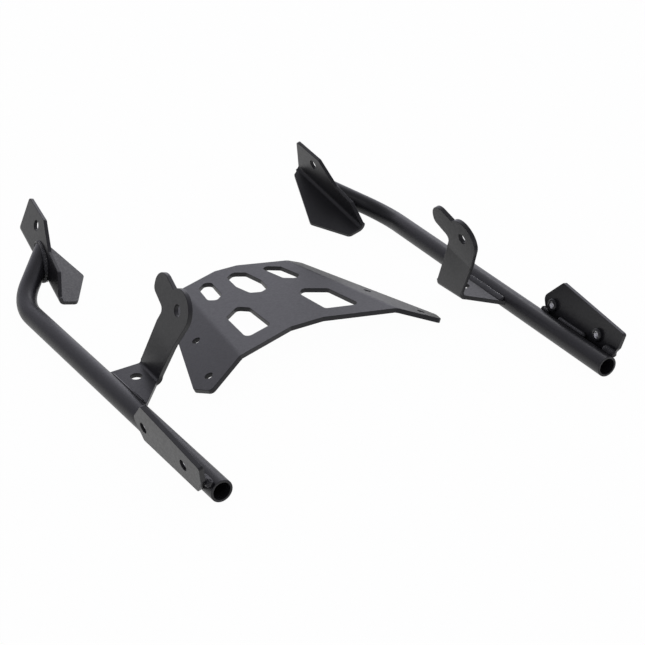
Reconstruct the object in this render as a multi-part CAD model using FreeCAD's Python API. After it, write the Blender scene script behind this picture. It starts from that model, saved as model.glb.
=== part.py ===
import FreeCAD, Part
import math
import os

# Luggage rack laid out as a flat kit: a folded top plate between two mirrored welded arms.
# Lengths are millimetres, angles degrees.
# Arm frame: x runs along the tube from its open end, y points inboard, z is up from the floor.
# Layout frame: X right, Y far, Z up.

Vector = FreeCAD.Vector
X_AXIS = Vector(1, 0, 0)
Y_AXIS = Vector(0, 1, 0)
Z_AXIS = Vector(0, 0, 1)
ZERO = Vector(0, 0, 0)

# Fasteners the holes are made for
JOIN_BOLT_DIAMETER = 6.0
JOIN_HOLE_CLEARANCE = 1.2
JOIN_HOLE_SPACING = 60.0
FRAME_BOLT_DIAMETER = 8.0
FRAME_HOLE_CLEARANCE = 1.5

# Tube
TUBE_DIAMETER = 18.0
TUBE_WALL = 2.0
TUBE_BEND_X = 343.0
TUBE_BEND_RADIUS = 55.0
TUBE_CONTACT_ALONG = 54.0
TUBE_CONTACT_UP = 11.5

# Front bracket, an L fold: leaf one stands and takes the tube, leaf two runs inboard
FRONT_THICKNESS = 3.5
FRONT_INNER_RADIUS = 3.5
FRONT_CORNER_X = 333.4
FRONT_CORNER_Y = 29.4
FRONT_YAW = 6.9
FRONT_PITCH = -14.3
FRONT_ROLL = -15.6
FRONT_LENGTH = 110.0
FRONT_TALL_HEIGHT = 42.0
FRONT_TOP_FAR_HEIGHT = 40.2
FRONT_TOP_FAR_INSET = 2.0
FRONT_TALL_ALONG = 69.5
FRONT_LOW_ALONG = 44.0
FRONT_LOW_HEIGHT = 25.5
FRONT_NEAR_ALONG = 17.0
FRONT_NEAR_HEIGHT = 23.2
FRONT_NEAR_FOOT = 4.0
FRONT_HOLE_ALONG = 80.5
FRONT_HOLE_UP = 28.5
FRONT_SHELF_NEAR_WIDTH = 19.0
FRONT_SHELF_PEAK_ALONG = 38.5
FRONT_SHELF_PEAK_WIDTH = 39.0
FRONT_SHELF_FAR_ALONG = 105.0
FRONT_SHELF_FAR_WIDTH = 12.5
FRONT_CORNER_RADIUS = 3.0
FRONT_SHELF_RADIUS = 5.0

# Middle bracket: flat tab on the tube, then a leaning upright with a crease
MIDDLE_THICKNESS = 4.0
MIDDLE_INNER_RADIUS = 2.5
MIDDLE_FOLD_X = 174.5
MIDDLE_FOLD_Y = 35.2
MIDDLE_TOE = 3.5
MIDDLE_LEAN = 8.7
MIDDLE_FOLD_FAR = 15.8
MIDDLE_FOLD_NEAR = -18.5
TAB_LIFT = 1.0
TAB_FAR_X = 190.8
TAB_NEAR_X = 129.5
TAB_HOLE_X = 172.5
TAB_HOLE_Y = 23.0
TAB_CORNER_RADIUS = 3.0
UPRIGHT_FOOT = 3.0
UPRIGHT_FOOT_RADIUS = 8.0
LOBE_ALONG = -33.6
LOBE_UP = 68.0
LOBE_RADIUS = 17.3
NECK_ALONG = -12.2
NECK_UP = 59.9
NECK_RADIUS = 5.0
FINGER_END = 7.2
FINGER_LOW = 69.5
FINGER_HIGH = 92.9
FINGER_ROOT_UP = 76.6
FINGER_LOW_RADIUS = 6.0
FINGER_HIGH_RADIUS = 12.0
CREASE_ANGLE = 6.4
CREASE_FAR_ALONG = -5.0
CREASE_FAR_UP = 48.4
CREASE_NEAR_ALONG = -38.1
CREASE_NEAR_UP = 38.7

# Flange, a plate leaning outboard and touching the side of the tube
FLANGE_THICKNESS = 4.0
FLANGE_LEAN = 10.0
FLANGE_HOLE_X = 27.7
FLANGE_HOLE_UP = 15.1
FLANGE_NEAR_HEIGHT = 28.0
FLANGE_TOP_FAR_X = 82.5
FLANGE_TOP_FAR_HEIGHT = 38.0
FLANGE_LENGTH = 102.5
FLANGE_NOSE_HEIGHT = 17.5
FLANGE_NOSE_RADIUS = 6.0
FLANGE_FOOT_FAR_X = 93.0
FLANGE_FOOT_NEAR_X = 12.0
FLANGE_NEAR_CUT_X = 2.5
FLANGE_NEAR_CUT_HEIGHT = 14.0
FLANGE_CORNER_RADIUS = 2.0

# Weld nuts
NUT_COLLAR_DIAMETER = 11.2
NUT_COLLAR_HEIGHT = 3.0
NUT_SPIGOT_DIAMETER = 8.8
NUT_SPIGOT_LENGTH = 2.0
NUT_SPIGOT_CLEARANCE = 0.1
NUT_THREAD_DEPTH = 0.5

# Weld beads
BEAD_RADIUS = 2.6
NEAR_BEAD_RADIUS = 3.4
TAB_BEAD_RADIUS = 2.1
FRONT_BEAD_RADIUS = 2.6
BEAD_BITE = 1.0
TAB_BEAD_NEAR_X = 132.0
TAB_BEAD_FAR_X = 184.0
NEAR_BEAD_START = 1.0
NEAR_BEAD_END = 15.5
MIDDLE_BEAD_START = 40.0
MIDDLE_BEAD_END = 76.0
FAR_BEAD_START = 89.6
FAR_BEAD_END = 99.5

# Top plate
PLATE_THICKNESS = 3.0
PLATE_INNER_RADIUS = 6.0
PLATE_NEAR_HALF_WIDTH = 75.8
PLATE_BEND_FAR_HALF_WIDTH = 54.3
PLATE_BEND_FAR_Y = 151.0
PLATE_NOTCH_DEPTH = 22.6
PLATE_NOTCH_HALF_WIDTH = 15.7
PLATE_FAR_Y = 169.1
PLATE_FAR_HALF_WIDTH = 11.4
PLATE_CORNER_RADIUS = 4.0
WING_ANGLE = 24.0
WING_NEAR_WIDTH = 46.4
WING_TIP_ALONG = -2.9
WING_INNER_TIP_WIDTH = 36.0
WING_FAR_WIDTH = 17.7
WING_HOLE_ALONG = 1.0
WING_HOLE_WIDTH = 30.0
WING_HOLE_TAPER = 10.6
CUTOUT_RADIUS = 4.0

# Corners (x, y) of the cut-outs on the plate's top face, right half only
NEAR_CUTOUT = [(50.7, 72.2), (32.8, 86.1), (24.9, 78.0), (26.9, 37.2), (55.8, 26.6)]
FAR_CUTOUT = [(42.0, 141.1), (31.7, 150.0), (26.3, 146.7), (31.1, 117.3), (40.2, 109.6), (46.7, 114.1)]
CENTRE_CUTOUT = [(0.0, 155.4), (9.5, 148.6), (12.5, 124.9), (9.1, 106.0), (0.0, 101.6)]

# Where the loose pieces lie
RIGHT_ARM_X = 178.3
RIGHT_ARM_Y = -152.5
RIGHT_ARM_YAW = -2.1
LEFT_ARM_X = -168.6
LEFT_ARM_Y = -141.8
LEFT_ARM_YAW = 2.8

TUBE_RADIUS = TUBE_DIAMETER / 2
JOIN_HOLE_DIAMETER = JOIN_BOLT_DIAMETER + JOIN_HOLE_CLEARANCE
FRAME_HOLE_DIAMETER = FRAME_BOLT_DIAMETER + FRAME_HOLE_CLEARANCE

# Overlap of cutting bodies, their spare length and their full reach
MARGIN = 2.0
SPARE = 30.0
REACH = 600.0
# Share of an edge that its two rounded corners may use up
EDGE_SHARE = 0.95


def outline_face(corners):
    """Flat face from (x, y, radius) corners, each rounded with a tangent arc."""
    points = [Vector(x, y, 0) for x, y, radius in corners]
    count = len(points)
    halves = []
    wanted = []
    for i in range(count):
        back = points[i - 1] - points[i]
        ahead = points[(i + 1) % count] - points[i]
        halves.append(back.getAngle(ahead) / 2)
        wanted.append(corners[i][2] / math.tan(halves[i]))
    joins = []
    for i in range(count):
        here = points[i]
        back = points[i - 1] - here
        ahead = points[(i + 1) % count] - here
        if corners[i][2] <= 0:
            joins.append((here, None, here))
            continue
        half = halves[i]
        reach = wanted[i]
        for side, other in ((back, wanted[i - 1]), (ahead, wanted[(i + 1) % count])):
            room = EDGE_SHARE * side.Length * wanted[i] / (wanted[i] + other)
            reach = min(reach, room)
        radius = reach * math.tan(half)
        back.normalize()
        ahead.normalize()
        bisector = (back + ahead).normalize()
        middle = here + bisector * (radius / math.sin(half) - radius)
        joins.append((here + back * reach, middle, here + ahead * reach))
    edges = []
    for i in range(count):
        start, middle, end = joins[i]
        if middle is not None:
            edges.append(Part.Arc(start, middle, end).toShape())
        edges.append(Part.makeLine(end, joins[(i + 1) % count][0]))
    return Part.Face(Part.Wire(edges))


def sheet(corners, thickness):
    return outline_face(corners).extrude(Vector(0, 0, thickness))


def framed(shape, origin, along, across):
    """Copy of a shape whose x, y and z axes now lie on along, across and their cross product."""
    normal = along.cross(across)
    matrix = FreeCAD.Matrix(
        along.x, across.x, normal.x, origin.x,
        along.y, across.y, normal.y, origin.y,
        along.z, across.z, normal.z, origin.z,
        0, 0, 0, 1,
    )
    copy = shape.copy()
    copy.Placement = FreeCAD.Placement(matrix).multiply(copy.Placement)
    return copy


def turned(angle):
    """Unit vector in the yz plane, turned from z toward y."""
    radians = math.radians(angle)
    return Vector(0, math.sin(radians), math.cos(radians))


def tube_path(bend, direction, end_point, overrun):
    """Centre line: straight run, tangent bend, straight run past the end point."""
    turn = X_AXIS.getAngle(direction)
    reach = TUBE_BEND_RADIUS * math.tan(turn / 2)
    start = Vector(0, 0, TUBE_RADIUS)
    first = bend - X_AXIS * reach
    last = bend + direction * reach
    inside = (direction - X_AXIS).normalize()
    middle = bend + inside * (TUBE_BEND_RADIUS / math.cos(turn / 2) - TUBE_BEND_RADIUS)
    return Part.Wire([
        Part.makeLine(start, first),
        Part.Arc(first, middle, last).toShape(),
        Part.makeLine(last, end_point + direction * overrun),
    ])


def swept(path, radius):
    start = Vector(0, 0, TUBE_RADIUS)
    ring = Part.Wire(Part.makeCircle(radius, start, X_AXIS))
    return path.makePipeShell([ring], True, False)


def capsule(start, end, radius):
    axis = end - start
    body = Part.makeCylinder(radius, axis.Length, start, axis)
    return body.fuse([Part.makeSphere(radius, start), Part.makeSphere(radius, end)]).removeSplitter()


def half_space():
    """Large block on the +y side of the xz plane."""
    return Part.makeBox(REACH, REACH / 2, REACH, Vector(-REACH / 2, 0, -REACH / 2))


def largest_solid(shape):
    return max(shape.Solids, key=lambda solid: solid.Volume)


def build_front_bracket():
    """L bracket in its own frame: x along the fold, y inboard, z up leaf one."""
    t = FRONT_THICKNESS
    outer = FRONT_INNER_RADIUS + t
    tall = FRONT_TALL_HEIGHT + SPARE
    deep = FRONT_SHELF_PEAK_WIDTH + SPARE
    section = sheet([
        (0, 0, outer),
        (deep, 0, 0),
        (deep, t, 0),
        (t, t, FRONT_INNER_RADIUS),
        (t, tall, 0),
        (0, tall, 0),
    ], FRONT_LENGTH + 2 * MARGIN)
    fold = framed(section, Vector(-MARGIN, 0, 0), Y_AXIS, Z_AXIS)
    r = FRONT_CORNER_RADIUS
    leaf_one = sheet([
        (0, -MARGIN, 0),
        (FRONT_LENGTH, -MARGIN, 0),
        (FRONT_LENGTH, outer, 0),
        (FRONT_LENGTH - FRONT_TOP_FAR_INSET, FRONT_TOP_FAR_HEIGHT, r),
        (FRONT_TALL_ALONG, FRONT_TALL_HEIGHT, r),
        (FRONT_LOW_ALONG, FRONT_LOW_HEIGHT, r),
        (FRONT_NEAR_ALONG, FRONT_NEAR_HEIGHT, r),
        (0, FRONT_NEAR_FOOT, 0),
    ], outer + MARGIN)
    leaf_one = framed(leaf_one, Vector(0, outer, 0), X_AXIS, Z_AXIS)
    leaf_two = sheet([
        (0, -MARGIN, 0),
        (FRONT_LENGTH, -MARGIN, 0),
        (FRONT_LENGTH, outer - t, 0),
        (FRONT_SHELF_FAR_ALONG, FRONT_SHELF_FAR_WIDTH, r),
        (FRONT_SHELF_PEAK_ALONG, FRONT_SHELF_PEAK_WIDTH, FRONT_SHELF_RADIUS),
        (0, FRONT_SHELF_NEAR_WIDTH, FRONT_SHELF_RADIUS),
    ], outer + MARGIN)
    leaf_two = framed(leaf_two, Vector(0, 0, -MARGIN), X_AXIS, Y_AXIS)
    bracket = fold.common(leaf_one.fuse(leaf_two))
    hole = Part.makeCylinder(
        FRAME_HOLE_DIAMETER / 2, t + 2 * MARGIN,
        Vector(FRONT_HOLE_ALONG, -MARGIN, FRONT_HOLE_UP), Y_AXIS)
    return largest_solid(bracket.cut(hole).removeSplitter())


def front_placement(bracket):
    """Stand the bracket on its lowest corner, in the arm frame."""
    turn = FreeCAD.Rotation(FRONT_YAW, FRONT_PITCH, FRONT_ROLL)
    trial = bracket.copy()
    trial.Placement = FreeCAD.Placement(ZERO, turn)
    lift = -trial.optimalBoundingBox(False, False).ZMin
    return FreeCAD.Placement(Vector(FRONT_CORNER_X, FRONT_CORNER_Y, lift), turn)


def moved(shape, placement):
    copy = shape.copy()
    copy.Placement = placement.multiply(copy.Placement)
    return copy


def build_middle_bracket(tube_body):
    """Tab and upright in a frame with x along the fold, y inboard, z up from the tab's top face."""
    t = MIDDLE_THICKNESS
    outer = MIDDLE_INNER_RADIUS + t
    toe = math.radians(MIDDLE_TOE)
    lean = math.radians(MIDDLE_LEAN)
    along = Vector(math.cos(toe), math.sin(toe), 0)
    inboard = Vector(-math.sin(toe), math.cos(toe), 0)
    top_z = TUBE_RADIUS + t / 2 + TAB_LIFT
    origin = Vector(MIDDLE_FOLD_X, MIDDLE_FOLD_Y, top_z)

    def local(x, y):
        offset = Vector(x, y, top_z) - origin
        return offset.dot(along), offset.dot(inboard)

    up = turned(MIDDLE_LEAN)
    rear = Vector(0, math.cos(lean), -math.sin(lean))
    tall = FINGER_HIGH + SPARE
    reach = MIDDLE_FOLD_Y + SPARE
    outer_corner = t * (1 - math.sin(lean)) / math.cos(lean)
    section = sheet([
        (-reach, -t, 0),
        (outer_corner, -t, outer),
        (tall * up.y + t * rear.y, tall * up.z + t * rear.z, 0),
        (tall * up.y, tall * up.z, 0),
        (0, 0, MIDDLE_INNER_RADIUS),
        (-reach, 0, 0),
    ], TAB_FAR_X - TAB_NEAR_X + 2 * SPARE)
    fold = framed(section, Vector(LOBE_ALONG - LOBE_RADIUS - SPARE, 0, 0), Y_AXIS, Z_AXIS)

    near_fold = Vector(MIDDLE_FOLD_X, MIDDLE_FOLD_Y, 0) + along * MIDDLE_FOLD_NEAR
    near_slope = (near_fold.x - TAB_NEAR_X) / (near_fold.y - TUBE_RADIUS)
    near_root = local(TAB_NEAR_X - near_slope * TUBE_RADIUS, 0)
    far_root = local(TAB_FAR_X, 0)
    tab = sheet([
        (MIDDLE_FOLD_NEAR, outer + MARGIN, 0),
        (MIDDLE_FOLD_NEAR, -MIDDLE_INNER_RADIUS / 2, TAB_CORNER_RADIUS),
        (near_root[0], near_root[1], 0),
        (far_root[0], far_root[1], 0),
        (MIDDLE_FOLD_FAR, -MIDDLE_INNER_RADIUS / 2, TAB_CORNER_RADIUS),
        (MIDDLE_FOLD_FAR, outer + MARGIN, 0),
    ], t + 3 * MARGIN)
    tab = framed(tab, Vector(0, 0, -t - MARGIN), X_AXIS, Y_AXIS)

    foot = Vector(MIDDLE_FOLD_NEAR, UPRIGHT_FOOT, 0)
    lobe = Vector(LOBE_ALONG, LOBE_UP, 0)
    gap = foot - lobe
    swing = math.acos(LOBE_RADIUS / gap.Length)
    heading = math.atan2(gap.y, gap.x) - swing
    tangent = lobe + Vector(math.cos(heading), math.sin(heading), 0) * LOBE_RADIUS
    profile = [
        (MIDDLE_FOLD_FAR, -outer - MARGIN, 0),
        (MIDDLE_FOLD_FAR, UPRIGHT_FOOT, UPRIGHT_FOOT_RADIUS),
        (NECK_ALONG, NECK_UP, NECK_RADIUS),
        (FINGER_END, FINGER_LOW, FINGER_LOW_RADIUS),
        (FINGER_END, FINGER_HIGH, FINGER_HIGH_RADIUS),
        (lobe.x, FINGER_ROOT_UP, 0),
        (tangent.x, tangent.y, 0),
        (foot.x, foot.y, UPRIGHT_FOOT_RADIUS),
        (MIDDLE_FOLD_NEAR, -outer - MARGIN, 0),
    ]

    def upright(depth):
        body = sheet(profile, depth)
        disc = Part.makeCylinder(LOBE_RADIUS, depth, lobe)
        eye = Part.makeCylinder(FRAME_HOLE_DIAMETER / 2, depth + 2 * MARGIN, lobe - Z_AXIS * MARGIN)
        return body.fuse(disc).cut(eye)

    crease_start = Vector(CREASE_NEAR_ALONG, CREASE_NEAR_UP, 0)
    crease_end = Vector(CREASE_FAR_ALONG, CREASE_FAR_UP, 0)
    crease = (crease_end - crease_start).normalize()
    above_crease = Z_AXIS.cross(crease)
    over = half_space()
    over = framed(over, crease_start, crease, above_crease)
    under = framed(half_space(), crease_start, crease * -1, above_crease * -1)

    lower = upright(outer + 2 * MARGIN).cut(over)
    lower = framed(lower, rear * (outer + MARGIN), X_AXIS, up)
    lower = fold.common(tab.fuse(lower))
    upper = upright(t).cut(under)
    upper = framed(upper, rear * t, X_AXIS, up)
    hinge = X_AXIS * crease_start.x + up * crease_start.y
    hinge_axis = X_AXIS * crease.x + up * crease.y
    upper.rotate(hinge, hinge_axis, -CREASE_ANGLE)
    bracket = framed(lower.fuse(upper).removeSplitter(), origin, along, inboard)
    tab_hole = Part.makeCylinder(
        FRAME_HOLE_DIAMETER / 2, t + 2 * MARGIN, Vector(TAB_HOLE_X, TAB_HOLE_Y, top_z - t - MARGIN))
    return largest_solid(bracket.cut([tab_hole, tube_body]))


def flange_frame(shape):
    """Flange frame: x along the tube, y up the flange from its line on the tube, z outboard."""
    up = turned(-FLANGE_LEAN)
    outboard = X_AXIS.cross(up)
    origin = Vector(0, 0, TUBE_RADIUS) + outboard * TUBE_RADIUS
    return framed(shape, origin, X_AXIS, up)


def flange_holes():
    return [FLANGE_HOLE_X, FLANGE_HOLE_X + JOIN_HOLE_SPACING]


def build_flange():
    r = FLANGE_CORNER_RADIUS
    body = sheet([
        (FLANGE_FOOT_NEAR_X, 0, r),
        (FLANGE_FOOT_FAR_X, 0, r),
        (FLANGE_LENGTH, FLANGE_NOSE_HEIGHT, FLANGE_NOSE_RADIUS),
        (FLANGE_TOP_FAR_X, FLANGE_TOP_FAR_HEIGHT, r),
        (0, FLANGE_NEAR_HEIGHT, r),
        (FLANGE_NEAR_CUT_X, FLANGE_NEAR_CUT_HEIGHT, r),
    ], FLANGE_THICKNESS)
    radius = (NUT_SPIGOT_DIAMETER + NUT_SPIGOT_CLEARANCE) / 2
    for x in flange_holes():
        body = body.cut(Part.makeCylinder(
            radius, FLANGE_THICKNESS + 2 * MARGIN, Vector(x, FLANGE_HOLE_UP, -MARGIN)))
    return flange_frame(body)


def build_nut(x):
    collar = Part.makeCylinder(
        NUT_COLLAR_DIAMETER / 2, NUT_COLLAR_HEIGHT, Vector(x, FLANGE_HOLE_UP, -NUT_COLLAR_HEIGHT))
    spigot = Part.makeCylinder(NUT_SPIGOT_DIAMETER / 2, NUT_SPIGOT_LENGTH, Vector(x, FLANGE_HOLE_UP, 0))
    bore = Part.makeCylinder(
        JOIN_BOLT_DIAMETER / 2 - NUT_THREAD_DEPTH, NUT_COLLAR_HEIGHT + NUT_SPIGOT_LENGTH + 2 * MARGIN,
        Vector(x, FLANGE_HOLE_UP, -NUT_COLLAR_HEIGHT - MARGIN))
    return flange_frame(collar.fuse(spigot).removeSplitter().cut(bore))


def build_flange_bead(start, end, radius, tube_body, flange):
    """Bead in the valley between tube and flange."""
    stand_off = radius - BEAD_BITE
    to_axis = TUBE_RADIUS + stand_off
    height = math.sqrt(to_axis ** 2 - (TUBE_RADIUS - stand_off) ** 2)
    bead_start = Vector(start + radius, height, -stand_off)
    bead_end = Vector(end - radius, height, -stand_off)
    bead = capsule(bead_start, bead_end, radius)
    return largest_solid(flange_frame(bead).cut([tube_body, flange]))


def build_tab_bead(tube_body, bracket):
    """Bead in the corner over the tab, against the tube."""
    radius = TAB_BEAD_RADIUS
    stand_off = radius - BEAD_BITE
    rise = MIDDLE_THICKNESS / 2 + TAB_LIFT + stand_off
    side = math.sqrt((TUBE_RADIUS + stand_off) ** 2 - rise ** 2)
    bead_start = Vector(TAB_BEAD_NEAR_X + radius, side, TUBE_RADIUS + rise)
    bead_end = Vector(TAB_BEAD_FAR_X - radius, side, TUBE_RADIUS + rise)
    bead = capsule(bead_start, bead_end, radius)
    return largest_solid(bead.cut([tube_body, bracket]))


def build_front_bead(contact, direction, face_normal, tube_body, bracket):
    """Bead round the oblique tube end on leaf one."""
    slant = direction.dot(face_normal)
    major = (direction - face_normal * slant).normalize()
    minor = face_normal.cross(major)
    ring = Part.Ellipse(ZERO, TUBE_RADIUS / abs(slant), TUBE_RADIUS).toShape()
    path = framed(Part.Wire(ring), contact, major, minor)
    start = contact + major * (TUBE_RADIUS / abs(slant))
    profile = Part.Wire(Part.makeCircle(FRONT_BEAD_RADIUS, start, minor))
    bead = path.makePipeShell([profile], True, False)
    return largest_solid(bead.cut([tube_body, bracket]))


def build_arm():
    """Every node of the right arm, in the arm frame."""
    front = build_front_bracket()
    placement = front_placement(front)
    front = moved(front, placement)
    contact = placement.multVec(Vector(TUBE_CONTACT_ALONG, 0, TUBE_CONTACT_UP))
    face_normal = placement.Rotation.multVec(Y_AXIS)
    bend = Vector(TUBE_BEND_X, 0, TUBE_RADIUS)
    direction = (contact - bend).normalize()

    path = tube_path(bend, direction, contact, 2 * TUBE_DIAMETER)
    tube_body = swept(path, TUBE_RADIUS)
    bore = swept(path, TUBE_RADIUS - TUBE_WALL)
    behind_leaf = moved(half_space(), placement)
    tube = largest_solid(tube_body.cut(bore).cut(behind_leaf))

    middle = build_middle_bracket(tube_body)
    flange = build_flange()
    near_hole, far_hole = flange_holes()
    return {
        "tube": tube,
        "front_bracket": front,
        "middle_bracket": middle,
        "flange": flange,
        "near_nut": build_nut(near_hole),
        "far_nut": build_nut(far_hole),
        "front_weld": build_front_bead(contact, direction, face_normal, tube_body, front),
        "tab_weld": build_tab_bead(tube_body, middle),
        "flange_near_weld": build_flange_bead(
            NEAR_BEAD_START, NEAR_BEAD_END, NEAR_BEAD_RADIUS, tube_body, flange),
        "flange_middle_weld": build_flange_bead(
            MIDDLE_BEAD_START, MIDDLE_BEAD_END, BEAD_RADIUS, tube_body, flange),
        "flange_far_weld": build_flange_bead(
            FAR_BEAD_START, FAR_BEAD_END, BEAD_RADIUS, tube_body, flange),
    }


def cutout(corners):
    """Through cutter from (x, y) corners on the plate's top face."""
    face = [(x, y, CUTOUT_RADIUS) for x, y in corners]
    return sheet(face, 4 * PLATE_THICKNESS).translated(Vector(0, 0, -2 * PLATE_THICKNESS))


def build_plate():
    """Top plate with its flat top face at z = 0 and its near bend corners on y = 0."""
    t = PLATE_THICKNESS
    outer = PLATE_INNER_RADIUS + t
    angle = math.radians(WING_ANGLE)
    near_corner = Vector(PLATE_NEAR_HALF_WIDTH, 0, 0)
    far_corner = Vector(PLATE_BEND_FAR_HALF_WIDTH, PLATE_BEND_FAR_Y, 0)
    bend_length = (far_corner - near_corner).Length
    along = (far_corner - near_corner).normalize()
    outward = along.cross(Z_AXIS)
    down = outward * math.cos(angle) - Z_AXIS * math.sin(angle)
    wide = 2 * PLATE_NEAR_HALF_WIDTH
    long = 2 * WING_NEAR_WIDTH
    section = sheet([
        (-wide, -t, 0),
        (-t * math.tan(angle / 2), -t, PLATE_INNER_RADIUS),
        (long * math.cos(angle) - t * math.sin(angle), -long * math.sin(angle) - t * math.cos(angle), 0),
        (long * math.cos(angle), -long * math.sin(angle), 0),
        (0, 0, outer),
        (-wide, 0, 0),
    ], bend_length + 2 * wide)
    fold = framed(section, far_corner + along * wide, outward, Z_AXIS)

    r = PLATE_CORNER_RADIUS
    centre = sheet([
        (0, PLATE_NOTCH_DEPTH, 0),
        (PLATE_NOTCH_HALF_WIDTH, PLATE_NOTCH_DEPTH, 1.5 * r),
        (near_corner.x, near_corner.y, 0),
        (far_corner.x, far_corner.y, 0),
        (PLATE_FAR_HALF_WIDTH, PLATE_FAR_Y, 1.5 * r),
        (0, PLATE_FAR_Y, 0),
    ], t + 3 * MARGIN)
    centre.translate(Vector(0, 0, -t - MARGIN))

    edge = near_corner - Vector(PLATE_NOTCH_HALF_WIDTH, PLATE_NOTCH_DEPTH, 0)
    edge_slope = edge.dot(along) / edge.dot(outward)
    wing = sheet([
        (0, 0, 0),
        (edge_slope * WING_INNER_TIP_WIDTH, WING_INNER_TIP_WIDTH, r),
        (WING_TIP_ALONG, WING_NEAR_WIDTH, r),
        (bend_length, WING_FAR_WIDTH, r),
        (bend_length, 0, 0),
    ], t + 3 * MARGIN)
    inward_face = along.cross(down)
    wing = framed(wing, near_corner - inward_face * MARGIN, along, down)
    half = fold.common(centre.fuse(wing))

    hole_run = math.sqrt(JOIN_HOLE_SPACING ** 2 - WING_HOLE_TAPER ** 2)
    for run, width in (
        (WING_HOLE_ALONG, WING_HOLE_WIDTH),
        (WING_HOLE_ALONG + hole_run, WING_HOLE_WIDTH - WING_HOLE_TAPER),
    ):
        spot = near_corner + along * run + down * width - inward_face * MARGIN
        half = half.cut(Part.makeCylinder(JOIN_HOLE_DIAMETER / 2, t + 2 * MARGIN, spot, inward_face))
    half = half.cut([cutout(NEAR_CUTOUT), cutout(FAR_CUTOUT)])
    plate = half.fuse(half.mirror(ZERO, X_AXIS)).removeSplitter()
    other_side = [(-x, y) for x, y in reversed(CENTRE_CUTOUT) if x > 0]
    plate = largest_solid(plate.cut(cutout(CENTRE_CUTOUT + other_side)))

    tip = near_corner + along * WING_TIP_ALONG + down * WING_NEAR_WIDTH + inward_face * t
    heel = far_corner + down * WING_FAR_WIDTH + inward_face * t
    pitch = math.degrees(math.atan2(heel.z - tip.z, heel.y - tip.y))
    plate.rotate(ZERO, X_AXIS, -pitch)
    plate.translate(Vector(0, 0, -plate.optimalBoundingBox(False, False).ZMin))
    return plate


def lay(shape, x, y, yaw):
    copy = shape.copy()
    copy.rotate(ZERO, Z_AXIS, 90 + yaw)
    copy.translate(Vector(x, y, 0))
    return copy


def build_nodes():
    nodes = {"rack_plate": build_plate()}
    for name, shape in build_arm().items():
        nodes["right_" + name] = lay(shape, RIGHT_ARM_X, RIGHT_ARM_Y, RIGHT_ARM_YAW)
        mirrored = shape.mirror(ZERO, Y_AXIS)
        nodes["left_" + name] = lay(mirrored, LEFT_ARM_X, LEFT_ARM_Y, LEFT_ARM_YAW)
    box = Part.makeCompound(list(nodes.values())).optimalBoundingBox(False, False)
    shift = Vector(-box.Center.x, -box.Center.y, -box.ZMin)
    for shape in nodes.values():
        shape.translate(shift)
    return nodes, shift


os.makedirs("parts", exist_ok=True)
NODES, SHIFT = build_nodes()
for node, solid in NODES.items():
    solid.exportStep("parts/" + node + ".step")
print("layout shift", SHIFT)
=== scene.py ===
import math

import bmesh
import bpy
import numpy as np
from mathutils import Matrix, Vector, noise


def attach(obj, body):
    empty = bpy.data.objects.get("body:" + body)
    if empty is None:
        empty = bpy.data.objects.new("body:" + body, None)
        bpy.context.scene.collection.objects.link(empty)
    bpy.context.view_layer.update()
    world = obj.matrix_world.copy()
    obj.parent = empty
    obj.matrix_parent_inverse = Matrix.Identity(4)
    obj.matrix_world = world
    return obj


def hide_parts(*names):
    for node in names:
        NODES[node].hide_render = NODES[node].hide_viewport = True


# Black luggage rack kit laid on a pale floor. Lengths are metres, angles degrees.

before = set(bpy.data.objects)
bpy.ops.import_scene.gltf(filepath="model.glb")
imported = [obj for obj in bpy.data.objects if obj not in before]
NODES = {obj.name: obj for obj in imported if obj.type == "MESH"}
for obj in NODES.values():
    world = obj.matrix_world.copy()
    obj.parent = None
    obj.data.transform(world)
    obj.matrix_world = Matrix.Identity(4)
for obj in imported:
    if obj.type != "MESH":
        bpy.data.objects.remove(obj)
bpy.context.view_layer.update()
UP = Vector((0, 0, 1))

# Sheet and tube edges, rounded by the coat
EDGE_RADIUS = 0.0004
EDGE_SEGMENTS = 2
ROUND_PROFILE = 0.5
SHARP_EDGE = math.radians(28)
FLAT_ANGLE = math.radians(0.4)
# Points closer than this are one point, and edges shorter than this are closed up
SAME_POINT = 1e-7
SHORT_EDGE = 0.00005
# Faces narrower than this across an edge keep that edge sharp
NARROW_FACE = 0.0009
# Two faces wider than this, by area over outline, meet in a crease
WIDE_FACE = 0.003
# How much the shading follows the larger faces, of 100
FLAT_WEIGHT = 90
# The plate's sheet is thicker than its solid by this much, on the upper side
PLATE_EXTRA = 0.0012
# Faces whose normal rises above this are on the upper side
UPPER_FACE = 0.7

# Weld beads: size of the even mesh, and pitch, bow and middle of the ripples
BEAD_VOXEL = 0.0002
BEAD_PITCH = 0.0023
BEAD_BOW = 0.9
BEAD_HALF_WIDTH = 0.002
WAVE_MIDDLE = 0.6
BEAD_LUMP_SIZE = 0.0045
# One point in so many is enough to find the axes of a bead
AXIS_SAMPLE = 7
# Step in the noise from one arm's lumps to the other's
SEED_STEP = 11.0
# Front beads: size of the section on the thin side and on the full side, which is near and low
FRONT_THIN = 0.5
FRONT_FULL = 2.2
FULL_SIDE_DROP = 0.3
SEAM_MARKS = 48
# Tab beads: how much of the crown is pressed flat, how deep the bead sits in its corner,
# and how far the right one spreads over its tab
TAB_FLAT = 0.7
TAB_SINK = 0.0003
TAB_SPREAD = 0.5
# Height of the ripples and of the slow lumps on each kind of bead
BEADS = {
    "tab": (0.00001, 0.00005),
    "flange_near": (0.00042, 0.00050),
    "flange_middle": (0.00012, 0.00016),
    "flange_far": (0.00030, 0.00035),
    "front": (0.00040, 0.00045),
}

# Weld nuts
FLANGE_LEAN = 10.0
THREAD_PITCH = 0.001
THREAD_DEPTH = 0.00045
THREAD_STEPS = 8
NUT_SIDES = 64
NUT_EDGE = 0.0004
NUT_MOUTH = 0.0007
NUT_ROUND = 0.0012
NUT_ROUND_STEPS = 6
NUT_SHARP = math.radians(35)
NUT_TOLERANCE = 1e-5

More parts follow.
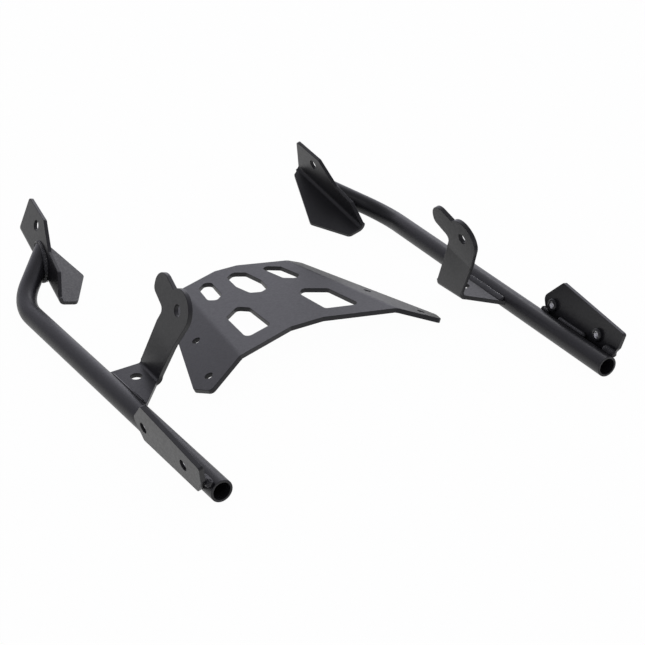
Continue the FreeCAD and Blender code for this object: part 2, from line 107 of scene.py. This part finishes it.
# Black coat: index, scale and detail of its noises, strength and distance of its bumps
COAT_IOR = 1.38
CLOUD_NOISE = (30.0, 3.0)
GLOSS_NOISE = (420.0, 3.0)
PEEL_NOISE = (800.0, 1.5)
PEEL_BUMP = (0.10, 0.0003)
GRAIN_NOISE = (2600.0, 2.0)
GRAIN_BUMP = (0.20, 0.00010)
# Dark and light tone, and least and most roughness, of each surface
ARM_TONES = ((0.0105, 0.0103, 0.0115), (0.0135, 0.0132, 0.0148))
ARM_ROUGHNESS = (0.34, 0.42)
PLATE_TONES = ((0.0120, 0.0118, 0.0132), (0.0150, 0.0147, 0.0165))
PLATE_ROUGHNESS = (0.36, 0.44)
WELD_TONES = ((0.0125, 0.0125, 0.0138), (0.0175, 0.0175, 0.0190))
WELD_ROUGHNESS = (0.11, 0.19)
ZINC_NOISE = (900.0, 3.0)
ZINC_TONES = ((0.42, 0.42, 0.43), (0.70, 0.70, 0.72))
ZINC_ROUGHNESS = (0.24, 0.38)
# Noise levels between which a tone or a roughness runs from its first value to its second
RAMP_START = 0.3
RAMP_END = 0.7

# Floor
FLOOR_REACH = 40.0
FLOOR_COLOUR = (0.80, 0.80, 0.81, 1)
FLOOR_ROUGHNESS = 0.9
FLOOR_SPECULAR = 0.1
# Share of plain white in the floor as it is seen; the rest takes light and shadow
FLOOR_WHITE = 0.98

# Surround: sine of the height where the wall ends and where the ceiling begins
WALL_TOP = 0.66
WALL_COLOUR = (1.32, 1.31, 1.47, 1)
CEILING_EDGE = 0.90
CEILING_COLOUR = (0.94, 0.94, 1.01, 1)
# Direction of its bright side, where along that direction it brightens, and the share left opposite
LIT_SIDE = (0.75, 0.66, 0.0)
LIT_START = -0.4
LIT_END = 1.0
UNLIT = 0.34

# Lamps: name, place, size and power in watts, all aimed at the middle
LAMPS = (
    ("key_softbox", (1.3, 1.6, 1.5), 0.25, 2.6),
    ("near_lamp", (-0.5, -1.3, 1.9), 0.12, 1.6),
)

# Camera, from the photograph
PHOTO_WIDTH = 645
FOCAL_PIXELS = 1487.4
SENSOR = 36.0
CLIP_START = 0.01
CAMERA_PLACE = (-0.56005, -0.99586, 0.61898)
CAMERA_HEADING = 31.15
CAMERA_DROP = 28.62
CAMERA_ROLL = -0.44


def new_material(name):
    material = bpy.data.materials.new(name)
    material.use_nodes = True
    nodes = material.node_tree.nodes
    shader = nodes["Principled BSDF"]
    return material, nodes, material.node_tree.links, shader


def noise_node(nodes, links, scale, detail):
    place = nodes.new("ShaderNodeTexCoord")
    texture = nodes.new("ShaderNodeTexNoise")
    texture.inputs["Scale"].default_value = scale
    texture.inputs["Detail"].default_value = detail
    links.new(place.outputs["Object"], texture.inputs["Vector"])
    return texture.outputs["Fac"]


def ramp_node(nodes, links, source, low, high):
    """Colour ramp between two colours, or two grey levels given as numbers."""
    ramp = nodes.new("ShaderNodeValToRGB")
    ends = ramp.color_ramp.elements
    for stop, place, value in ((ends[0], RAMP_START, low), (ends[1], RAMP_END, high)):
        stop.position = place
        stop.color = (value, value, value, 1) if isinstance(value, float) else (*value, 1)
    links.new(source, ramp.inputs["Fac"])
    return ramp.outputs["Color"]


def bump_chain(nodes, links, shader, layers):
    """Stack of bump layers, each a height output with its strength and distance."""
    last = None
    for height, (strength, distance) in layers:
        bump = nodes.new("ShaderNodeBump")
        bump.inputs["Strength"].default_value = strength
        bump.inputs["Distance"].default_value = distance
        links.new(height, bump.inputs["Height"])
        if last is not None:
            links.new(last, bump.inputs["Normal"])
        last = bump.outputs["Normal"]
    links.new(last, shader.inputs["Normal"])


def powder_coat(name, tones, roughness):
    """Satin powder coat: orange peel, fine grain, slow mottling and uneven gloss."""
    material, nodes, links, shader = new_material(name)
    shader.inputs["IOR"].default_value = COAT_IOR
    cloud = noise_node(nodes, links, *CLOUD_NOISE)
    links.new(ramp_node(nodes, links, cloud, *tones), shader.inputs["Base Color"])
    gloss = noise_node(nodes, links, *GLOSS_NOISE)
    links.new(ramp_node(nodes, links, gloss, *roughness), shader.inputs["Roughness"])
    peel = noise_node(nodes, links, *PEEL_NOISE)
    grain = noise_node(nodes, links, *GRAIN_NOISE)
    bump_chain(nodes, links, shader, [(peel, PEEL_BUMP), (grain, GRAIN_BUMP)])
    return material


def bare_zinc(name):
    """Plated thread metal: bright, lightly streaked."""
    material, nodes, links, shader = new_material(name)
    shader.inputs["Metallic"].default_value = 1.0
    streak = noise_node(nodes, links, *ZINC_NOISE)
    links.new(ramp_node(nodes, links, streak, *ZINC_TONES), shader.inputs["Base Color"])
    links.new(ramp_node(nodes, links, streak, *ZINC_ROUGHNESS), shader.inputs["Roughness"])
    return material


ARM_COAT = powder_coat("arm_powder_coat", ARM_TONES, ARM_ROUGHNESS)
PLATE_COAT = powder_coat("plate_powder_coat", PLATE_TONES, PLATE_ROUGHNESS)
WELD_COAT = powder_coat("weld_powder_coat", WELD_TONES, WELD_ROUGHNESS)
THREAD_ZINC = bare_zinc("thread_zinc")


def add_piece(name, mesh, node, materials):
    piece = bpy.data.objects.new(name, mesh)
    bpy.context.scene.collection.objects.link(piece)
    for material in materials:
        mesh.materials.append(material)
    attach(piece, "root")
    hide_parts(node)
    return piece


def joined_mesh(node):
    """The node's shape as one closed bmesh."""
    shape = bmesh.new()
    shape.from_mesh(NODES[node].data)
    bmesh.ops.remove_doubles(shape, verts=shape.verts, dist=SAME_POINT)
    return shape


def new_mesh(name, shape):
    """Mesh of a bmesh, which is freed."""
    mesh = bpy.data.meshes.new(name)
    shape.to_mesh(mesh)
    shape.free()
    return mesh


def raise_upper_side(shape, extra):
    """Thicken a sheet by lifting its upper faces along their normals."""
    shape.normal_update()
    lifts = []
    for vertex in shape.verts:
        normals = [face.normal for face in vertex.link_faces if face.normal.z > UPPER_FACE]
        if normals:
            lifts.append((vertex, sum(normals, Vector()).normalized() * extra))
    for vertex, lift in lifts:
        vertex.co += lift


def takes_rounding(edge):
    """True for a sharp edge between two faces with room for its rounding."""
    if len(edge.link_faces) != 2 or edge.calc_face_angle() < SHARP_EDGE:
        return False
    room = NARROW_FACE * edge.calc_length()
    return all(face.calc_area() > room for face in edge.link_faces)


def is_crease(edge):
    """True where every face at the edge is a wide one."""
    return all(face.calc_area() > WIDE_FACE * face.calc_perimeter() for face in edge.link_faces)


def coated_piece(node, material, extra=0.0):
    """The node with its sharp edges rounded, as a coat rounds them."""
    shape = joined_mesh(node)
    bmesh.ops.remove_doubles(shape, verts=shape.verts, dist=SHORT_EDGE)
    raise_upper_side(shape, extra)
    bmesh.ops.dissolve_limit(shape, angle_limit=FLAT_ANGLE, verts=shape.verts, edges=shape.edges)
    sharp = [edge for edge in shape.edges if takes_rounding(edge)]
    bmesh.ops.bevel(
        shape, geom=sharp, offset=EDGE_RADIUS, offset_type="OFFSET", segments=EDGE_SEGMENTS,
        profile=ROUND_PROFILE, affect="EDGES", clamp_overlap=False)
    for face in shape.faces:
        face.smooth = True
    for edge in shape.edges:
        edge.smooth = not is_crease(edge)
    mesh = new_mesh(node + "_coated", shape)
    piece = add_piece(node + "_coated", mesh, node, [material])
    weight = piece.modifiers.new("flat_faces", "WEIGHTED_NORMAL")
    weight.keep_sharp = True
    weight.weight = FLAT_WEIGHT


def node_points(node):
    return np.array([v.co for v in NODES[node].data.vertices])


def arm_axes(side):
    """Heading, outboard direction and flange normal of an arm, from its two nuts."""
    near = node_points(side + "_near_nut").mean(0)
    far = node_points(side + "_far_nut").mean(0)
    heading = Vector(far - near)
    heading.z = 0
    heading.normalize()
    outboard = heading.cross(UP) if side == "right" else UP.cross(heading)
    lean = math.radians(FLANGE_LEAN)
    normal = outboard * math.cos(lean) - UP * math.sin(lean)
    return heading, outboard, normal


def keep_largest_island(mesh):
    """Drop the crumbs that an even mesh may leave beside a bead."""
    shape = bmesh.new()
    shape.from_mesh(mesh)
    waiting = set(shape.verts)
    islands = []
    while waiting:
        island = {waiting.pop()}
        front = list(island)
        while front:
            vertex = front.pop()
            fresh = {edge.other_vert(vertex) for edge in vertex.link_edges} & waiting
            waiting -= fresh
            island |= fresh
            front += fresh
        islands.append(island)
    largest = max(islands, key=len)
    crumbs = [vertex for vertex in shape.verts if vertex not in largest]
    bmesh.ops.delete(shape, geom=crumbs, context="VERTS")
    shape.to_mesh(mesh)
    shape.free()


def remeshed(node):
    """Even fine mesh over a bead."""
    mesh = new_mesh(node + "_even", joined_mesh(node))
    holder = bpy.data.objects.new(node + "_even", mesh)
    bpy.context.scene.collection.objects.link(holder)
    remesh = holder.modifiers.new("even", "REMESH")
    remesh.mode = "VOXEL"
    remesh.voxel_size = BEAD_VOXEL
    bpy.context.view_layer.update()
    evaluated = holder.evaluated_get(bpy.context.evaluated_depsgraph_get())
    even = bpy.data.meshes.new_from_object(evaluated)
    keep_largest_island(even)
    bpy.data.objects.remove(holder)
    bpy.data.meshes.remove(mesh)
    return even


def set_points(mesh, cloud):
    mesh.vertices.foreach_set("co", cloud.ravel())
    mesh.update()


def own_axes(cloud):
    """Middle of a cloud of points, and its directions from the longest to the shortest."""
    centre = cloud.mean(0)
    axes = np.linalg.svd((cloud - centre)[::AXIS_SAMPLE], full_matrices=False)[2]
    return centre, axes


def ripple(mesh, run, cross, fullness, heights, seed):
    """Shift bead points along their normals: bowed ripples and slow lumps."""
    normals = [v.normal.copy() for v in mesh.vertices]
    for vertex, normal, along, sideways, full in zip(mesh.vertices, normals, run, cross, fullness):
        phase = along / BEAD_PITCH - BEAD_BOW * sideways * sideways
        wave = abs(math.sin(math.pi * phase)) - WAVE_MIDDLE
        lump = noise.noise(vertex.co / BEAD_LUMP_SIZE + Vector((seed, 0, 0)))
        vertex.co += normal * full * (heights[0] * wave + heights[1] * lump)


def seam_of_ring(angle, radius, depth):
    """Radius and depth, at every angle, of the corner that a ring bead fills."""
    marks = np.linspace(-math.pi, math.pi, SEAM_MARKS, endpoint=False)
    half = math.pi / SEAM_MARKS
    corner = []
    for mark in marks:
        near = np.abs((angle - mark + math.pi) % (2 * math.pi) - math.pi) < half
        corner.append(np.flatnonzero(near)[np.argmin((radius + depth)[near])])
    seam_radius = np.interp(angle, marks, radius[corner], period=2 * math.pi)
    seam_depth = np.interp(angle, marks, depth[corner], period=2 * math.pi)
    return seam_radius, seam_depth


def front_bead(mesh, cloud, heights, seed, heading, outboard):
    """Ring bead: small on top, and full on the near side."""
    centre, axes = own_axes(cloud)
    axes[2] *= np.sign(axes[2] @ np.array(outboard))
    local = (cloud - centre) @ axes.T
    angle = np.arctan2(local[:, 1], local[:, 0])
    radius = np.hypot(local[:, 0], local[:, 1])
    depth = local[:, 2]
    seam_radius, seam_depth = seam_of_ring(angle, radius, depth)
    lean = (cloud - centre) @ np.array(-heading - UP * FULL_SIDE_DROP)
    fullness = np.clip(0.5 + 0.5 * lean / np.abs(lean).max(), 0, 1)
    size = FRONT_THIN + (FRONT_FULL - FRONT_THIN) * fullness ** 2
    radius = seam_radius + (radius - seam_radius) * size
    depth = seam_depth + (depth - seam_depth) * size
    local = np.stack([radius * np.cos(angle), radius * np.sin(angle), depth], 1)
    set_points(mesh, centre + local @ axes)
    ripple(mesh, angle * radius.mean(), depth / BEAD_HALF_WIDTH, fullness, heights, seed)


def straight_bead(mesh, cloud, heights, seed):
    centre, axes = own_axes(cloud)
    local = (cloud - centre) @ axes.T
    ripple(mesh, local[:, 0], local[:, 1] / BEAD_HALF_WIDTH, np.ones(len(cloud)), heights, seed)


def tab_bead(mesh, cloud, heights, seed, outboard, spread):
    """Straight bead in the corner of tube and tab, with a flat crown."""
    inboard = np.array(-outboard)
    crown = (inboard + np.array(UP)) / math.sqrt(2)
    rise = cloud @ crown
    rise -= rise.mean()
    cloud = cloud - np.outer(np.maximum(rise, 0) * TAB_FLAT + TAB_SINK, crown)
    reach = cloud @ inboard
    rim = reach[np.argmax(cloud[:, 2])]
    cloud = cloud + np.outer(np.maximum(reach - rim, 0) * spread, inboard)
    set_points(mesh, cloud)
    straight_bead(mesh, cloud, heights, seed)


def bead_piece(side, bead, seed, heights, heading, outboard):
    """Rippled bead over its node, uneven as hand work is."""
    node = side + "_" + bead + "_weld"
    mesh = remeshed(node)
    cloud = np.array([v.co for v in mesh.vertices])
    if bead == "front":
        front_bead(mesh, cloud, heights, seed, heading, outboard)
    elif bead == "tab":
        tab_bead(mesh, cloud, heights, seed, outboard, TAB_SPREAD if side == "right" else 0.0)
    else:
        straight_bead(mesh, cloud, heights, seed)
    for face in mesh.polygons:
        face.use_smooth = True
    add_piece(node + "_bead", mesh, node, [WELD_COAT])


def thread_radii(bore, rise):
    """Radii round the bore at one height of a helical thread."""
    radii = []
    for k in range(NUT_SIDES):
        swing = (rise / THREAD_PITCH - k / NUT_SIDES) % 1.0
        radii.append(bore + THREAD_DEPTH * (1 - abs(2 * swing - 1)))
    return radii


def nut_rings(height, radial):
    """Rings of a nut, from the collar's mouth round to the thread: radii, height, bare or coated."""
    low = height.min()
    high = height.max()
    collar = radial.max()
    bore = radial.min()
    seat = height[radial > collar - NUT_TOLERANCE].max()
    spigot = radial[height > high - NUT_TOLERANCE].max()
    mouth = bore + NUT_MOUTH
    profile = [(bore + THREAD_DEPTH, low + NUT_MOUTH), (mouth, low)]
    for step in range(NUT_ROUND_STEPS + 1):
        turn = math.pi / 2 * step / NUT_ROUND_STEPS
        inset = NUT_ROUND * (1 - math.sin(turn))
        lift = NUT_ROUND * (1 - math.cos(turn))
        profile.append((collar - inset, low + lift))
    profile += [(collar, seat), (spigot, seat), (spigot, high - NUT_EDGE), (spigot - NUT_EDGE, high)]
    rings = [([radius] * NUT_SIDES, rise, False) for radius, rise in profile]
    rings.append(([mouth] * NUT_SIDES, high, True))
    turns = int((high - low) / THREAD_PITCH * THREAD_STEPS)
    for i in range(turns + 1):
        rise = high - NUT_MOUTH - (high - low - 2 * NUT_MOUTH) * i / turns
        rings.append((thread_radii(bore, rise), rise, True))
    return rings


def nut_piece(node, normal):
    """Turned nut with a rounded collar, a spigot and a cut thread in its bore."""
    cloud = node_points(node)
    centre = Vector(cloud.mean(0))
    offsets = cloud - np.array(centre)
    height = offsets @ np.array(normal)
    radial = np.linalg.norm(offsets - np.outer(height, np.array(normal)), axis=1)
    side = normal.orthogonal().normalized()
    other = normal.cross(side)
    shape = bmesh.new()
    rows = []
    for radii, rise, bare in nut_rings(height, radial):
        row = []
        for k, radius in enumerate(radii):
            angle = 2 * math.pi * k / NUT_SIDES
            spoke = side * math.cos(angle) + other * math.sin(angle)
            row.append(shape.verts.new(centre + normal * rise + spoke * radius))
        rows.append((row, bare))
    for i, (first, first_bare) in enumerate(rows):
        second, second_bare = rows[(i + 1) % len(rows)]
        for k in range(NUT_SIDES):
            n = (k + 1) % NUT_SIDES
            face = shape.faces.new((first[k], first[n], second[n], second[k]))
            face.material_index = 1 if first_bare or second_bare else 0
            face.smooth = True
    bmesh.ops.recalc_face_normals(shape, faces=shape.faces)
    for edge in shape.edges:
        edge.smooth = edge.calc_face_angle(0.0) < NUT_SHARP
    mesh = new_mesh(node + "_turned", shape)
    add_piece(node + "_turned", mesh, node, [WELD_COAT, THREAD_ZINC])


def build_rack():
    coated_piece("rack_plate", PLATE_COAT, PLATE_EXTRA)
    for order, side in enumerate(("left", "right")):
        heading, outboard, flange_normal = arm_axes(side)
        for part in ("tube", "front_bracket", "middle_bracket", "flange"):
            coated_piece(side + "_" + part, ARM_COAT)
        for place in ("near_nut", "far_nut"):
            nut_piece(side + "_" + place, flange_normal)
        for number, (bead, heights) in enumerate(BEADS.items()):
            bead_piece(side, bead, SEED_STEP * order + number, heights, heading, outboard)


def build_camera():
    heading = math.radians(CAMERA_HEADING)
    drop = math.radians(CAMERA_DROP)
    roll = math.radians(CAMERA_ROLL)
    level_ahead = Vector((math.sin(heading), math.cos(heading), 0))
    ahead = level_ahead * math.cos(drop) - UP * math.sin(drop)
    level = Vector((math.cos(heading), -math.sin(heading), 0))
    lift = level.cross(ahead)
    right = level * math.cos(roll) + lift * math.sin(roll)
    above = right.cross(ahead)
    data = bpy.data.cameras.new("photo_camera")
    data.sensor_fit = "HORIZONTAL"
    data.sensor_width = SENSOR
    data.lens = FOCAL_PIXELS * SENSOR / PHOTO_WIDTH
    data.clip_start = CLIP_START
    camera = bpy.data.objects.new("photo_camera", data)
    camera.matrix_world = Matrix((
        (right.x, above.x, -ahead.x, CAMERA_PLACE[0]),
        (right.y, above.y, -ahead.y, CAMERA_PLACE[1]),
        (right.z, above.z, -ahead.z, CAMERA_PLACE[2]),
        (0, 0, 0, 1)))
    bpy.context.scene.collection.objects.link(camera)
    bpy.context.scene.camera = camera


def seen_rays(nodes, links):
    """1 for camera, glossy and transmission rays, else 0."""
    rays = nodes.new("ShaderNodeLightPath")
    total = rays.outputs["Is Camera Ray"]
    for kind in ("Is Glossy Ray", "Is Transmission Ray"):
        most = nodes.new("ShaderNodeMath")
        most.operation = "MAXIMUM"
        links.new(total, most.inputs[0])
        links.new(rays.outputs[kind], most.inputs[1])
        total = most.outputs[0]
    return total


def floor_material():
    material, nodes, links, shader = new_material("pale_floor")
    shader.inputs["Base Color"].default_value = FLOOR_COLOUR
    shader.inputs["Roughness"].default_value = FLOOR_ROUGHNESS
    shader.inputs["Specular IOR Level"].default_value = FLOOR_SPECULAR
    white = nodes.new("ShaderNodeEmission")
    white.inputs["Strength"].default_value = 1.0
    share = nodes.new("ShaderNodeMath")
    share.operation = "MULTIPLY"
    share.inputs[1].default_value = FLOOR_WHITE
    mix = nodes.new("ShaderNodeMixShader")
    links.new(seen_rays(nodes, links), share.inputs[0])
    links.new(share.outputs[0], mix.inputs[0])
    links.new(shader.outputs[0], mix.inputs[1])
    links.new(white.outputs[0], mix.inputs[2])
    links.new(mix.outputs[0], nodes["Material Output"].inputs["Surface"])
    return material


def build_floor():
    reach = FLOOR_REACH
    corners = [(-reach, -reach, 0), (reach, -reach, 0), (reach, reach, 0), (-reach, reach, 0)]
    mesh = bpy.data.meshes.new("floor")
    mesh.from_pydata(corners, [], [(0, 1, 2, 3)])
    mesh.materials.append(floor_material())
    floor = bpy.data.objects.new("floor", mesh)
    bpy.context.scene.collection.objects.link(floor)


def build_surround():
    """Pale world that dims toward the ceiling and away from its bright side."""
    world = bpy.data.worlds.new("studio")
    bpy.context.scene.world = world
    world.use_nodes = True
    nodes = world.node_tree.nodes
    links = world.node_tree.links
    place = nodes.new("ShaderNodeTexCoord")
    split = nodes.new("ShaderNodeSeparateXYZ")
    links.new(place.outputs["Generated"], split.inputs[0])
    ramp = nodes.new("ShaderNodeValToRGB")
    stops = ramp.color_ramp.elements
    stops[0].position = WALL_TOP
    stops[0].color = WALL_COLOUR
    stops[1].position = CEILING_EDGE
    stops[1].color = CEILING_COLOUR
    links.new(split.outputs["Z"], ramp.inputs["Fac"])
    toward = nodes.new("ShaderNodeVectorMath")
    toward.operation = "DOT_PRODUCT"
    toward.inputs[1].default_value = LIT_SIDE
    links.new(place.outputs["Generated"], toward.inputs[0])
    lit = nodes.new("ShaderNodeMapRange")
    lit.interpolation_type = "SMOOTHSTEP"
    lit.inputs["From Min"].default_value = LIT_START
    lit.inputs["From Max"].default_value = LIT_END
    lit.inputs["To Min"].default_value = UNLIT
    lit.inputs["To Max"].default_value = 1.0
    links.new(toward.outputs["Value"], lit.inputs["Value"])
    links.new(ramp.outputs["Color"], nodes["Background"].inputs["Color"])
    links.new(lit.outputs["Result"], nodes["Background"].inputs["Strength"])


def build_lamps():
    for name, position, size, power in LAMPS:
        data = bpy.data.lights.new(name, "AREA")
        data.shape = "SQUARE"
        data.size = size
        data.energy = power
        lamp = bpy.data.objects.new(name, data)
        lamp.location = position
        lamp.rotation_euler = (-Vector(position)).to_track_quat("-Z", "Y").to_euler()
        lamp.visible_camera = False
        bpy.context.scene.collection.objects.link(lamp)


build_rack()
build_camera()
build_floor()
build_surround()
build_lamps()
bpy.context.scene.view_settings.view_transform = "Standard"
